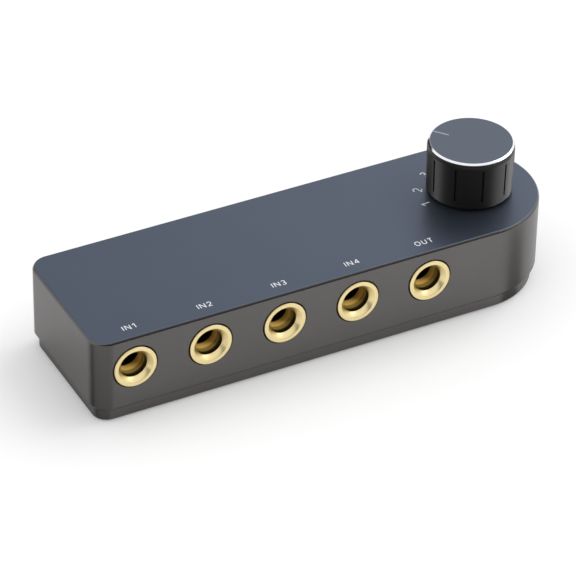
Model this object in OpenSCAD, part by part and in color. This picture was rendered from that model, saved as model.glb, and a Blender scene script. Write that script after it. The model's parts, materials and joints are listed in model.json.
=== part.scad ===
// Selector box for small audio plugs: a long metal case with a row of jacks and a rotary switch.
// Millimetres. The origin is at the bottom centre, X runs along the case, the jacks face -Y.

/* [Case] */
// Length of the case
box_l = 69.4; // [68:0.1:80]
// Width of the case, which is also the diameter of its round end
box_w = 21.4; // [20.6:0.1:26]
// Height of the top face above the underside of the base cover
body_h = 12.45; // [12.2:0.05:15]
// Radius of the two corners at the square end
corner_r = 2.65; // [2.4:0.05:4]
// Thickness of the side walls
wall_t = 1.2; // [0.9:0.05:1.4]
// Thickness of the top wall
top_t = 1.2; // [0.8:0.05:1.5]
// Bevel round the edge of the top face
top_bevel = 0.15; // [0.1:0.05:0.5]

/* [Base] */
// Height of the base cover's visible band
band_h = 1.4; // [1.1:0.05:1.6]
// How far the band is set in from the walls
band_inset = 0.6; // [0.3:0.05:0.8]
// Height of the slope that joins the wall to the band
slope_h = 0.8; // [0.4:0.05:1.2]
// Height of the rim that centres the cover in the case
rim_h = 0.8; // [0.5:0.1:1.4]
// Thickness of that rim
rim_t = 0.8; // [0.5:0.05:0.9]
// Radius of each foot
foot_r = 2; // [1.4:0.1:2.2]
// How far the feet stand out below the cover
foot_proud = 0.25; // [0.1:0.05:0.6]
// How deep the feet are sunk in the cover
foot_sink = 0.35; // [0.2:0.05:0.6]
// Distance of the feet from the sides and the square end of the case
foot_in = 4.5; // [3.6:0.1:5]

/* [Screws] */
// Radius of the screw's shank
screw_r = 0.8; // [0.6:0.01:1]
// Radius of the countersunk head
head_r = 1.5; // [1.2:0.05:1.8]
// Height of the countersunk head
head_h = 0.75; // [0.6:0.05:1]
// Wall of the bosses round the screws
boss_wall = 0.55; // [0.4:0.05:0.8]
// Length of the screw
screw_l = 10; // [7:0.5:10.5]
// Distance from the front wall to the front screws
screw_front_in = 2.6; // [2.3:0.1:3.5]
// Distance from the back wall to the back screws
screw_back_in = 3.8; // [3.6:0.1:4.6]

/* [Board] */
// Thickness of the circuit board
board_t = 1.2; // [0.8:0.1:1.3]
// Gap between the board and the walls
board_gap = 0.35; // [0.2:0.05:0.5]
// Extra room behind the board, so that it can slide back off the jack holes
board_slide = 1.5; // [1.4:0.1:1.6]
// How far the terminals reach below the board
leg_reach = 0.9; // [0.6:0.1:1]

/* [Jacks] */
// Distance from the square end to the first jack
jack_start = 5.56; // [5:0.02:6]
// Distance from the last jack to the switch axis, along the case
jack_end = 11.78; // [10.5:0.02:13]
// Height of the jack axis above the underside of the base cover
jack_h = 7.8; // [7.6:0.05:7.9]
// Radius of the plug hole
plug_r = 1.85; // [1.8:0.01:1.9]
// Length of the plug that fits, from its shoulder to its tip
plug_l = 14; // [13.8:0.1:14.6]
// Radius of the gold ring
ring_r = 3; // [2.8:0.05:3.1]
// Radius of the mouth where its cone starts
mouth_r = 2.45; // [2.2:0.05:2.5]
// Depth of the cone
mouth_d = 0.65; // [0.3:0.05:0.9]
// Radius of the bush behind the ring
neck_r = 2.5; // [2.4:0.05:2.6]
// Length of the bush
bush_l = 4.4; // [4:0.1:5]
// How far the ring stands out of the front face
ring_proud = 0.14; // [0:0.02:0.3]
// Gap between the ring and the hole in the case
ring_gap = 0.15; // [0.08:0.01:0.25]
// Width of a jack's body
jack_w = 6; // [5.8:0.05:6.4]
// Height of a jack's body
jack_t = 6; // [5.9:0.05:6.2]

/* [Switch] */
// Distance from the round end to the switch axis
switch_in = 9.26; // [9:0.02:10]
// Side of the square switch body
switch_w = 11; // [10.8:0.1:11.2]
// Thickness of the switch base
sole_t = 1.5; // [1.2:0.1:1.8]
// Radius of the rotor
rotor_r = 4.4; // [4.3:0.01:4.45]
// Angle between two positions
step_a = 30; // [30]
// Radius of the threaded bush
thread_r = 3; // [2.8:0.05:3.2]
// Width of the nut across its flats
nut_w = 8; // [7.5:0.1:8.2]
// Thickness of the nut
nut_t = 1.6; // [1.2:0.1:2]
// Radius of the shaft
shaft_r = 2; // [1.8:0.05:2.1]
// Depth of the flat on the shaft
flat_d = 0.5; // [0.3:0.05:0.7]

/* [Knob] */
// Radius of the knob at the top of its side
knob_r = 5.88; // [5.75:0.01:6.4]
// How much smaller the radius is at the bottom
knob_draft = 0.09; // [0:0.01:0.15]
// Height of the knob
knob_h = 7.1; // [6.8:0.05:9]
// Gap between the knob and the top face
knob_gap = 0.5; // [0.2:0.05:0.7]
// Width of the polished bevel round the top, seen from above
shine_w = 0.3; // [0.2:0.05:0.6]
// Height of the polished bevel
shine_h = 0.2; // [0.1:0.05:0.6]
// Height of the slim bevel below it
lip_h = 0.55; // [0.2:0.05:0.7]
// How far that slim bevel leans in
lip_w = 0.1; // [0.05:0.01:0.15]
// Width of a grip slot
slot_w = 0.3; // [0.2:0.02:0.6]
// Depth of a grip slot
slot_d = 0.35; // [0.2:0.05:0.4]
// Length of a grip slot
slot_l = 5; // [4:0.1:5.2]
// Number of grip slots
slot_count = 10; // [6:1:14]
// Length of the pointer line
pointer_l = 2.2; // [1.5:0.1:3]
// Width of the pointer line
pointer_w = 0.25; // [0.15:0.05:0.5]

/* [Hidden] */
$fn = 64;

case_grey = "#55585e";
cover_grey = "#4a4a49";
steel = "#9aa0a6";
rubber_black = "#232426";
board_green = "#1e4d3a";
gold = "#d9bf74";
jack_black = "#1d1d1f";
spring_brass = "#c9a227";
phenolic = "#5b3a29";
zinc = "#8d9196";
nylon = "#e8e6df";
knob_dark = "#2c2f36";
pointer_grey = "#c9ccd2";

// Small overlap that lets a cut pass a face, or two unions share volume
cut = 0.1;
// Clearance of a pressed or screwed fit
fit_gap = 0.02;
// Clearance of a turning fit
run_gap = 0.05;

// Places along the case
left_x = -box_l / 2;
corner_x = left_x + corner_r;
corner_y = box_w / 2 - corner_r;
end_x = box_l / 2 - box_w / 2;
front_y = -box_w / 2;
switch_x = box_l / 2 - switch_in;
// The jacks share out the length between the square end and the switch
jack_count = 5;
jack_pitch = (switch_x - jack_end - left_x - jack_start) / (jack_count - 1);
function jack_x(i) = left_x + jack_start + (i - 1) * jack_pitch;

// Heights in the case
base_z = foot_proud;
band_z = base_z + band_h;
top_z = base_z + body_h;
ceiling_z = top_z - top_t;
jack_z = base_z + jack_h;
board_top = jack_z - jack_t / 2;
board_low = board_top - board_t;
leg_z = board_low - leg_reach;

// Clearance of the base rim inside the walls
rim_gap = 0.1;
boss_r = screw_r + boss_wall;
// Clearance of the screws in the cover and the board
screw_gap = 0.15;
// Depth of the screw head below the underside
head_sink = 0.05;
// Depth that the boss hole goes past the screw's end
boss_spare = 0.4;
// Cross recess in the screw head
cross_l = 1.6;
cross_w = 0.3;
cross_d = 0.5;
// The screws stand between the first two jacks and between the last two
screw_xs = [jack_x(1.5), jack_x(jack_count - 0.5)];
screw_ys = [front_y + wall_t + screw_front_in, box_w / 2 - wall_t - screw_back_in];
// The feet at the round end, across the width from each other
foot_end_a = 55;
foot_spots = [
    [left_x + foot_in, front_y + foot_in],
    [left_x + foot_in, -front_y - foot_in],
    [end_x + (box_w / 2 - foot_in) * cos(foot_end_a), -(box_w / 2 - foot_in) * sin(foot_end_a)],
    [end_x + (box_w / 2 - foot_in) * cos(foot_end_a), (box_w / 2 - foot_in) * sin(foot_end_a)]
];

// Depths in a jack, from the front face
ring_edge = 0.12;
jack_wall_gap = 0.2;
jack_d0 = wall_t + jack_wall_gap;
bush_end = bush_l - ring_proud;
// Clearance round the plug behind the bush, and behind its tip
plug_gap = 0.3;
tip_gap = 0.5;
passage_r = plug_r + plug_gap;
passage_end = plug_l - ring_proud + tip_gap;
jack_back = 0.7;
jack_d1 = passage_end + jack_back;
// The sleeve terminal under the bush
sleeve_w = 0.9;
sleeve_t = 0.4;
sleeve_in = 1.2;
sleeve_d = bush_end - sleeve_in;
// Contact springs: how far before the plug's end they touch it, and their strip
tip_in = 1.6;
ring_in = 5.4;
tip_d = plug_l - ring_proud - tip_in;
ring_d = plug_l - ring_proud - ring_in;
strip_t = 0.25;
strip_w = 1.4;
strip_side = 0.5;
strip_press = 0.5;
strip_x = jack_w / 2 - strip_side;
strip_in = plug_r - strip_press;
strip_back = 2.2;
strip_bend = 1.5;
strip_lead = 0.8;
strip_lift = 0.6;
strip_leg = 0.6;
strip_gap = 0.15;
// Clearance of a terminal in its hole in the board
leg_gap = 0.15;
strip_hole_r = sqrt(pow(strip_leg / 2, 2) + pow(strip_t / 2, 2)) + leg_gap;
sleeve_hole_r = sqrt(pow(sleeve_w / 2, 2) + pow(sleeve_t / 2, 2)) + leg_gap;

// Heights in the switch
sole_top = board_top + sole_t;
pad_t = 0.15;
wiper_t = 0.15;
wiper_z = sole_top + pad_t + fit_gap;
rotor_z = wiper_z + wiper_t;
flange_t = 0.6;
lid_t = 0.6;
room_top = ceiling_z - flange_t - lid_t;
thrust_t = 0.4;
collar_t = 0.6;
thrust_z = room_top - fit_gap - thrust_t;
collar_z = thrust_z - collar_t;
// Radii in the switch
room_gap = 0.2;
room_r = rotor_r + room_gap;
flange_w = 1.2;
flange_r = thread_r + flange_w;
collar_w = 0.9;
collar_r = shaft_r + collar_w;
thrust_w = 0.3;
thrust_r = collar_r + thrust_w;
lid_gap = 0.3;
lid_hole_r = shaft_r + lid_gap;
pivot_r = 1;
pivot_d = 1;
flat_x = shaft_r - flat_d;
// Detent: notches in the rotor and the nose of the spring
notch_r = 0.5;
notch_count = 12;
nose_r = 0.4;
nose_in = 0.2;
nose_x = rotor_r - nose_in + nose_r;
detent_a = 45;
detent_strip = 0.2;
detent_back = 0.3;
detent_half = 1.8;
detent_lap = 0.25;
detent_x = nose_x + detent_lap;
detent_room = detent_x + detent_back + detent_strip / 2;
// End stop: a lug on the rotor in a curved pocket in the case
lug_a = 210;
lug_half = 7;
lug_out = 0.5;
lug_h = 0.8;
lug_gap = 0.1;
stop_gap_a = 0.3;
turn_low = -step_a;
turn_high = 2 * step_a;
// Contacts
contact_r = 3.5;
pad_r = 0.45;
pin_r = 0.3;
common_r0 = 1.75;
common_r1 = 2.45;
common_half = 60;
common_mid = 15;
wiper_w = 0.8;
rivet_r = 0.55;
rivet_as = [135, 225, 315];
rivet_in = 0.7;
rivet_at = switch_w / 2 * sqrt(2) - rivet_r - rivet_in;
// The pointer aims at position 3 when the switch is at rest
first_a = 189;
pointer_a = first_a - 2 * step_a;

// Heights above the top face
washer_t = knob_gap;
washer_edge = 0.4;
washer_r = nut_w / 2 + washer_edge;
nut_z = top_z + washer_t;
thread_out = 0.5;
thread_top = nut_z + nut_t + thread_out;
knob_z = top_z + knob_gap;
knob_top = knob_z + knob_h;
// Clearance of the knob's hollow over the bush and round the nut's corners
hollow_gap = 0.3;
hollow_top = thread_top + hollow_gap;
hollow_r = nut_w / sqrt(3) + hollow_gap;
cap_t = 1.2;
insert_top = knob_top - cap_t;
insert_wall = 2.2;
insert_r = shaft_r + insert_wall;
socket_cap = 0.35;
socket_top = insert_top - socket_cap;
socket_gap = 0.2;
shaft_top = socket_top - socket_gap;
// Grip slots: distance of their top end below the side's top
side_top = knob_top - shine_h - lip_h;
slot_below = 0.4;
slot_top = side_top - slot_below;
// Angle from the pointer to the next slot
slot_turn = 20;
pointer_d = 0.15;
pointer_edge = 0.05;
pointer_r1 = knob_r - lip_w - shine_w - pointer_edge;

// Half of the upright section of a case form, r mm from its middle to its wall
function half_section(r, z0, z1, run, rise, bevel) = concat(
    [[0, z0], [r - run, z0]],
    rise > 0 ? [[r, z0 + rise]] : [],
    bevel > 0 ? [[r, z1 - bevel], [r - bevel, z1]] : [[r, z1]],
    [[0, z1]]);

// The whole section, without the doubled points on the middle line
function whole_section(half) = let (n = len(half)) concat(
    [for (i = [1:n - 2]) half[i]],
    [for (i = [n - 2:-1:1]) [-half[i][0], half[i][1]]]);

// Ribbon of thickness t along a line of points, measured across X
function ribbon(line, t) = let (n = len(line)) concat(
    [for (p = line) [p[0] - t / 2, p[1]]],
    [for (i = [n - 1:-1:0]) [line[i][0] + t / 2, line[i][1]]]);

// Solid with the outline of the case, set in all round
module case_form(inset, z0, z1, run = 0, rise = 0, bevel = 0) {
    wide = half_section(box_w / 2 - inset, z0, z1, run, rise, bevel);
    small = half_section(corner_r - inset, z0, z1, run, rise, bevel);
    translate([end_x, 0, 0]) rotate([0, 0, -90]) rotate_extrude(angle = 180, $fn = 128) polygon(wide);
    translate([corner_x, 0, 0]) rotate([90, 0, 90]) linear_extrude(end_x - corner_x)
        polygon(whole_section(wide));
    translate([corner_x, corner_y, 0]) rotate([90, 0, 0]) linear_extrude(2 * corner_y)
        mirror([1, 0]) polygon(small);
    translate([corner_x, corner_y, 0]) rotate([0, 0, 90]) rotate_extrude(angle = 90) polygon(small);
    translate([corner_x, -corner_y, 0]) rotate([0, 0, 180]) rotate_extrude(angle = 90) polygon(small);
}

module at_screws() {
    for (x = screw_xs, y = screw_ys) translate([x, y, 0]) children();
}

module at_jack(i) {
    translate([jack_x(i), front_y, jack_z]) children();
}

module at_switch(angle = 0) {
    translate([switch_x, 0, 0]) rotate([0, 0, angle]) children();
}

// Rod along the depth of a jack
module depth_rod(r, d0, d1) {
    translate([0, d0, 0]) rotate([-90, 0, 0]) cylinder(r = r, h = d1 - d0);
}

// Disc or rod standing between two heights
module post(r, z0, z1) {
    translate([0, 0, z0]) cylinder(r = r, h = z1 - z0);
}

// Shaft section with one flat
module flat_round(gap) {
    difference() {
        circle(shaft_r + gap);
        translate([flat_x + gap, -shaft_r * 2]) square(shaft_r * 4);
    }
}

// Part of a flat ring about the switch axis
module ring_sector(r0, r1, a0, a1, z0, z1) {
    rotate([0, 0, a0]) rotate_extrude(angle = a1 - a0)
        translate([r0, z0]) square([r1 - r0, z1 - z0]);
}

module housing() {
    color(case_grey) difference() {
        union() {
            difference() {
                case_form(0, band_z, top_z, band_inset, slope_h, top_bevel);
                case_form(wall_t, band_z - cut, ceiling_z);
            }
            at_screws() post(boss_r, board_top, ceiling_z + cut);
        }
        for (i = [1:jack_count]) at_jack(i) depth_rod(ring_r + ring_gap, -cut, wall_t + cut);
        at_switch() post(thread_r + ring_gap, ceiling_z - cut, top_z + cut);
        at_screws() post(screw_r + fit_gap, board_top - cut, base_z + head_sink + screw_l + boss_spare);
    }
}

module base_cover() {
    color(cover_grey) difference() {
        union() {
            case_form(band_inset, base_z, band_z);
            difference() {
                case_form(wall_t + rim_gap, band_z - cut, band_z + rim_h);
                case_form(wall_t + rim_gap + rim_t, band_z - 2 * cut, band_z + rim_h + cut);
            }
            at_screws() post(boss_r, band_z - cut, board_low);
        }
        at_screws() {
            post(screw_r + screw_gap, base_z - cut, board_low + cut);
            post(head_r + fit_gap, base_z - cut, base_z + head_sink);
            translate([0, 0, base_z + head_sink])
                cylinder(r1 = head_r + fit_gap, r2 = screw_r + fit_gap, h = head_h);
        }
        for (p = foot_spots) translate(p) post(foot_r + run_gap, base_z - cut, base_z + foot_sink);
    }
}

module base_screws() {
    head_z = base_z + head_sink;
    color(steel) at_screws() difference() {
        union() {
            translate([0, 0, head_z]) cylinder(r1 = head_r, r2 = screw_r, h = head_h);
            post(screw_r, head_z + head_h - cut, head_z + screw_l);
        }
        for (a = [0, 90]) rotate([0, 0, a])
            translate([-cross_l / 2, -cross_w / 2, head_z - cut]) cube([cross_l, cross_w, cross_d + cut]);
    }
}

module foot(i) {
    color(rubber_black) translate(foot_spots[i - 1]) rotate_extrude() polygon([
        [0, 0], [foot_r - foot_proud / 2, 0], [foot_r, foot_proud / 2],
        [foot_r, base_z + foot_sink], [0, base_z + foot_sink]
    ]);
}

module main_board() {
    back_y = box_w / 2 - wall_t - board_gap - board_slide;
    color(board_green) difference() {
        case_form(wall_t + board_gap, board_low, board_top);
        translate([left_x, back_y, board_low - cut]) cube([box_l, box_w, board_t + 2 * cut]);
        at_screws() post(screw_r + screw_gap, board_low - cut, board_top + cut);
        for (i = [1:jack_count]) translate([jack_x(i), front_y, 0]) {
            translate([0, sleeve_d, 0]) post(sleeve_hole_r, board_low - cut, board_top + cut);
            translate([strip_x, tip_d + strip_back - strip_leg / 2, 0])
                post(strip_hole_r, board_low - cut, board_top + cut);
            translate([-strip_x, ring_d + strip_back - strip_leg / 2, 0])
                post(strip_hole_r, board_low - cut, board_top + cut);
        }
        pin_holes(pin_r + leg_gap, board_low - cut, board_top + cut);
    }
}

// Holes for every pin of the switch
module pin_holes(r, z0, z1) {
    for (side = [0, 180]) {
        for (k = [0:3]) at_switch(first_a - k * step_a + side) translate([contact_r, 0, 0]) post(r, z0, z1);
        at_switch(pointer_a + common_mid + side) translate([(common_r0 + common_r1) / 2, 0, 0]) post(r, z0, z1);
    }
}

module jack_bush(i) {
    color(gold) at_jack(i) {
        rotate([-90, 0, 0]) rotate_extrude() polygon([
            [plug_r, mouth_d - ring_proud], [mouth_r, -ring_proud],
            [ring_r - ring_edge, -ring_proud], [ring_r, ring_edge - ring_proud],
            [ring_r, jack_d0], [neck_r, jack_d0], [neck_r, bush_end], [plug_r, bush_end]
        ]);
        leg_top = -(neck_r + plug_r) / 2;
        translate([-sleeve_w / 2, sleeve_d - sleeve_t / 2, leg_z - jack_z])
            cube([sleeve_w, sleeve_t, leg_top - leg_z + jack_z]);
    }
}

module jack_body(i) {
    slot = [sleeve_w + 2 * leg_gap, sleeve_t + 2 * leg_gap, jack_t];
    color(jack_black) at_jack(i) difference() {
        translate([-jack_w / 2, jack_d0, -jack_t / 2]) cube([jack_w, jack_d1 - jack_d0, jack_t]);
        depth_rod(neck_r + fit_gap, jack_d0 - cut, bush_end);
        depth_rod(passage_r, bush_end - cut, passage_end);
        translate([-slot[0] / 2, sleeve_d - slot[1] / 2, -jack_t]) cube(slot);
        spring_channel(tip_d);
        mirror([1, 0, 0]) spring_channel(ring_d);
    }
}

// Room for a contact spring in the side of a jack's body, and a groove for its leg
module spring_channel(contact_d) {
    back = contact_d + strip_back + strip_gap;
    front = contact_d - strip_back / 2;
    tall = strip_w + 2 * strip_gap;
    inner = strip_x - strip_t / 2 - strip_gap;
    groove = strip_leg + 2 * strip_gap;
    translate([0, front, -tall / 2]) cube([jack_w, back - front, tall]);
    translate([inner, back - groove, -jack_t]) cube([jack_w, groove, jack_t]);
}

// Strip that runs along the side, dips in to touch the plug, and has a leg down to the board
module contact_spring(contact_d) {
    anchor = contact_d + strip_back;
    line = [
        [strip_x, anchor], [strip_x, contact_d + strip_bend],
        [strip_in, contact_d], [strip_in + strip_lift, contact_d - strip_lead]
    ];
    translate([0, 0, -strip_w / 2]) linear_extrude(strip_w) polygon(ribbon(line, strip_t));
    translate([strip_x - strip_t / 2, anchor - strip_leg, leg_z - jack_z])
        cube([strip_t, strip_leg, jack_z - leg_z]);
}

module tip_spring(i) {
    color(spring_brass) at_jack(i) contact_spring(tip_d);
}

module ring_spring(i) {
    color(spring_brass) at_jack(i) mirror([1, 0, 0]) contact_spring(ring_d);
}

module switch_base() {
    color(phenolic) difference() {
        at_switch() translate([-switch_w / 2, -switch_w / 2, board_top]) cube([switch_w, switch_w, sole_t]);
        pin_holes(pin_r + fit_gap, board_top - cut, sole_top + cut);
        at_switch() post(pivot_r + run_gap, sole_top - pivot_d - fit_gap, sole_top + cut);
        rivet_holes(board_top - cut, sole_top + cut);
    }
}

module rivet_holes(z0, z1) {
    for (a = rivet_as) at_switch(a) translate([rivet_at, 0, 0]) post(rivet_r + fit_gap, z0, z1);
}

module switch_case() {
    color(jack_black) difference() {
        at_switch() translate([-switch_w / 2, -switch_w / 2, sole_top])
            cube([switch_w, switch_w, ceiling_z - sole_top]);
        at_switch() {
            post(room_r, sole_top - cut, room_top);
            post(lid_hole_r, room_top - cut, ceiling_z);
            post(flange_r + fit_gap, ceiling_z - flange_t, ceiling_z + cut);
            ring_sector(room_r - cut, rotor_r + lug_out + lug_gap, lug_a + turn_low - lug_half - stop_gap_a,
                lug_a + turn_high + lug_half + stop_gap_a, sole_top - cut, rotor_z + lug_h + lug_gap);
        }
        at_switch(detent_a) translate([room_r - 3 * cut, -detent_half - cut, sole_top - cut])
            cube([detent_room - room_r + 3 * cut, 2 * (detent_half + cut), room_top - sole_top + cut]);
        rivet_holes(sole_top - cut, ceiling_z + cut);
    }
}

module switch_rivets() {
    color(steel) for (a = rivet_as) at_switch(a) translate([rivet_at, 0, 0]) post(rivet_r, board_top, ceiling_z);
}

module switch_bush() {
    color(zinc) at_switch() difference() {
        union() {
            post(flange_r, ceiling_z - flange_t, ceiling_z);
            post(thread_r, ceiling_z - cut, thread_top);
        }
        post(shaft_r + run_gap, ceiling_z - flange_t - cut, thread_top + cut);
    }
}

module switch_washer() {
    color(steel) at_switch() difference() {
        post(washer_r, top_z, top_z + washer_t);
        post(thread_r + run_gap, top_z - cut, top_z + washer_t + cut);
    }
}

module switch_nut() {
    color(steel) at_switch() difference() {
        translate([0, 0, nut_z]) cylinder(r = nut_w / sqrt(3), h = nut_t, $fn = 6);
        post(thread_r + fit_gap, nut_z - cut, nut_z + nut_t + cut);
    }
}

// Four fixed contacts of one channel, each a pad on a pin
module contacts(side) {
    color(gold) for (k = [0:3]) at_switch(first_a - k * step_a + side) translate([contact_r, 0, 0]) {
        post(pin_r, leg_z, sole_top + pad_t / 2);
        post(pad_r, sole_top, sole_top + pad_t);
    }
}

// Curved strip that the inner end of a wiper slides on
module common(side) {
    mid = pointer_a + common_mid + side;
    color(gold) {
        at_switch() ring_sector(common_r0, common_r1, mid - common_half, mid + common_half,
            sole_top, sole_top + pad_t);
        at_switch(mid) translate([(common_r0 + common_r1) / 2, 0, 0]) post(pin_r, leg_z, sole_top + pad_t / 2);
    }
}

module detent_spring() {
    line = [
        [detent_x + detent_back, -detent_half], [detent_x, -detent_half / 2],
        [detent_x, detent_half / 2], [detent_x + detent_back, detent_half]
    ];
    color(steel) at_switch(detent_a) {
        translate([0, 0, rotor_z + lug_h]) linear_extrude(collar_z - rotor_z - lug_h)
            polygon(ribbon(line, detent_strip));
        translate([nose_x, 0, 0]) post(nose_r, rotor_z + lug_h, collar_z);
    }
}

module switch_rotor() {
    color(nylon) at_switch() difference() {
        union() {
            post(rotor_r, rotor_z, collar_z);
            ring_sector(rotor_r - cut, rotor_r + lug_out, lug_a - lug_half, lug_a + lug_half,
                rotor_z, rotor_z + lug_h);
        }
        for (k = [0:notch_count - 1]) rotate([0, 0, detent_a + k * 360 / notch_count])
            translate([rotor_r + nose_in, 0, 0]) post(notch_r, rotor_z + lug_h, collar_z + cut);
        rotate([0, 0, pointer_a]) translate([0, 0, rotor_z - cut])
            linear_extrude(collar_z - rotor_z + 2 * cut) flat_round(fit_gap);
    }
}

module wiper(side) {
    color(spring_brass) at_switch(pointer_a + side) {
        translate([common_r0, -wiper_w / 2, wiper_z]) cube([contact_r - common_r0, wiper_w, wiper_t]);
        translate([contact_r, 0, 0]) post(wiper_w / 2, wiper_z, wiper_z + wiper_t);
    }
}

module thrust_washer() {
    color(nylon) at_switch() difference() {
        post(thrust_r, thrust_z, thrust_z + thrust_t);
        post(shaft_r + fit_gap, thrust_z - cut, thrust_z + thrust_t + cut);
    }
}

module switch_shaft() {
    color(steel) at_switch(pointer_a) {
        post(pivot_r, sole_top - pivot_d, rotor_z + cut);
        translate([0, 0, rotor_z]) linear_extrude(collar_z - rotor_z + cut) flat_round(0);
        post(collar_r, collar_z, collar_z + collar_t);
        post(shaft_r, collar_z + collar_t - cut, hollow_top);
        translate([0, 0, hollow_top - cut]) linear_extrude(shaft_top - hollow_top + cut) flat_round(0);
    }
}

module knob_shell() {
    color(knob_dark) at_switch(pointer_a) difference() {
        rotate_extrude($fn = 128) polygon([
            [0, knob_z], [knob_r - knob_draft, knob_z], [knob_r, side_top],
            [knob_r - lip_w, knob_top - shine_h], [knob_r - lip_w - shine_w, knob_top], [0, knob_top]
        ]);
        post(hollow_r, knob_z - cut, hollow_top);
        post(insert_r + fit_gap, hollow_top - cut, insert_top);
        for (k = [0:slot_count - 1]) rotate([0, 0, slot_turn + k * 360 / slot_count])
            translate([knob_r - slot_d, -slot_w / 2, slot_top - slot_l]) cube([slot_d + cut, slot_w, slot_l]);
        translate([pointer_r1 - pointer_l, -pointer_w / 2, knob_top - pointer_d])
            cube([pointer_l, pointer_w, pointer_d + cut]);
    }
}

module knob_insert() {
    color(jack_black) at_switch(pointer_a) difference() {
        post(insert_r, hollow_top, insert_top);
        translate([0, 0, hollow_top - cut]) linear_extrude(socket_top - hollow_top + cut) flat_round(fit_gap);
    }
}

module knob_pointer() {
    color(pointer_grey) at_switch(pointer_a)
        translate([pointer_r1 - pointer_l, -pointer_w / 2, knob_top - pointer_d])
            cube([pointer_l, pointer_w, pointer_d]);
}

housing();
base_cover();
base_screws();
foot(1);  // foot_1
foot(2);  // foot_2
foot(3);  // foot_3
foot(4);  // foot_4
main_board();
jack_bush(1);  // jack_1_bush
jack_bush(2);  // jack_2_bush
jack_bush(3);  // jack_3_bush
jack_bush(4);  // jack_4_bush
jack_bush(5);  // jack_5_bush
jack_body(1);  // jack_1_body
jack_body(2);  // jack_2_body
jack_body(3);  // jack_3_body
jack_body(4);  // jack_4_body
jack_body(5);  // jack_5_body
tip_spring(1);  // jack_1_tip_spring
tip_spring(2);  // jack_2_tip_spring
tip_spring(3);  // jack_3_tip_spring
tip_spring(4);  // jack_4_tip_spring
tip_spring(5);  // jack_5_tip_spring
ring_spring(1);  // jack_1_ring_spring
ring_spring(2);  // jack_2_ring_spring
ring_spring(3);  // jack_3_ring_spring
ring_spring(4);  // jack_4_ring_spring
ring_spring(5);  // jack_5_ring_spring
switch_base();
switch_case();
switch_rivets();
switch_bush();
switch_washer();
switch_nut();
contacts(0);  // left_contacts
contacts(180);  // right_contacts
common(0);  // left_common
common(180);  // right_common
detent_spring();
switch_rotor();
wiper(0);  // left_wiper
wiper(180);  // right_wiper
thrust_washer();
switch_shaft();
knob_shell();
knob_insert();
knob_pointer();
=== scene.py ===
import json
import math
import bpy
from mathutils import Matrix, Vector


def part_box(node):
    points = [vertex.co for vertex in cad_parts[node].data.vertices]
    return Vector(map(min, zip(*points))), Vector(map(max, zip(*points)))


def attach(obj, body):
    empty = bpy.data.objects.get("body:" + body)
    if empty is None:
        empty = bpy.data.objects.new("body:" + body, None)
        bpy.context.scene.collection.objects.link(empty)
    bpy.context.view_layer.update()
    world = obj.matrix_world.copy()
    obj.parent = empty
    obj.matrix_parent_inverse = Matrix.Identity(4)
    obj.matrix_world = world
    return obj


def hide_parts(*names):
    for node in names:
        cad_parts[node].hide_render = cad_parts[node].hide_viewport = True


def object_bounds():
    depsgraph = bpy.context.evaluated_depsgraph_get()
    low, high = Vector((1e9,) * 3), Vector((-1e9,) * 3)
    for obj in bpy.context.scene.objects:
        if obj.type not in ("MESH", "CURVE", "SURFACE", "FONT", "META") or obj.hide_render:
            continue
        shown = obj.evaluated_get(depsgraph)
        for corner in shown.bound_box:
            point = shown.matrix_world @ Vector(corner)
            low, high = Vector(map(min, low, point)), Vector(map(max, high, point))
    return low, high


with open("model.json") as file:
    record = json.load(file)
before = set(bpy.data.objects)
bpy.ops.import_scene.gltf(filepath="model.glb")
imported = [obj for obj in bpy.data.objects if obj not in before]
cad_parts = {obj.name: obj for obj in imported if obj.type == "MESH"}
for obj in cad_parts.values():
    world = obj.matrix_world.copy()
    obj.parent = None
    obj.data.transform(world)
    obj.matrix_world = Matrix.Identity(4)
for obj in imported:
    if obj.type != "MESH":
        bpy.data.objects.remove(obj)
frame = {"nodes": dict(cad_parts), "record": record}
cadLow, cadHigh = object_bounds()
print("frame loaded")

mm = 0.001
weldGap = 0.001 * mm  # doubles closer than this are one corner
facing = 0.9  # how much of a face's normal lies along an axis for it to face that way
squareOn = 0.999  # the same for a flat face with soft bevels beside it


def linear(hexCode):
    # an sRGB colour such as "#535b6a", as the linear red, green, blue and alpha that nodes take
    channels = [int(hexCode[i:i + 2], 16) / 255 for i in (1, 3, 5)]
    return [c / 12.92 if c <= 0.04045 else ((c + 0.055) / 1.055) ** 2.4 for c in channels] + [1]


def addNode(tree, kind, settings=None, links=None):
    # a setting goes to the socket of that name or number, or else to the node itself
    node = tree.nodes.new(kind)
    for key, value in (settings or {}).items():
        if isinstance(key, int) or key in node.inputs:
            node.inputs[key].default_value = value
        else:
            setattr(node, key, value)
    for key, source in (links or {}).items():
        tree.links.new(source, node.inputs[key])
    return node


def startMaterial(name, colour, **sockets):
    material = bpy.data.materials.new(name)
    material.use_nodes = True
    tree = material.node_tree
    shader = tree.nodes["Principled BSDF"]
    shader.inputs["Base Color"].default_value = linear(colour)
    for key, value in sockets.items():
        shader.inputs[key.replace("_", " ")].default_value = value
    return material, tree, shader


def startPiece():
    if bpy.context.object and bpy.context.object.mode != "OBJECT":
        bpy.ops.object.mode_set(mode="OBJECT")
    bpy.ops.object.select_all(action="DESELECT")


def only(piece):
    startPiece()
    piece.select_set(True)
    bpy.context.view_layer.objects.active = piece


def settle(name):
    # the place goes into the mesh, so the object sits at the origin
    piece = bpy.context.object
    piece.name = piece.data.name = name
    bpy.ops.object.transform_apply(location=True, rotation=True, scale=True)
    return piece


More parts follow.
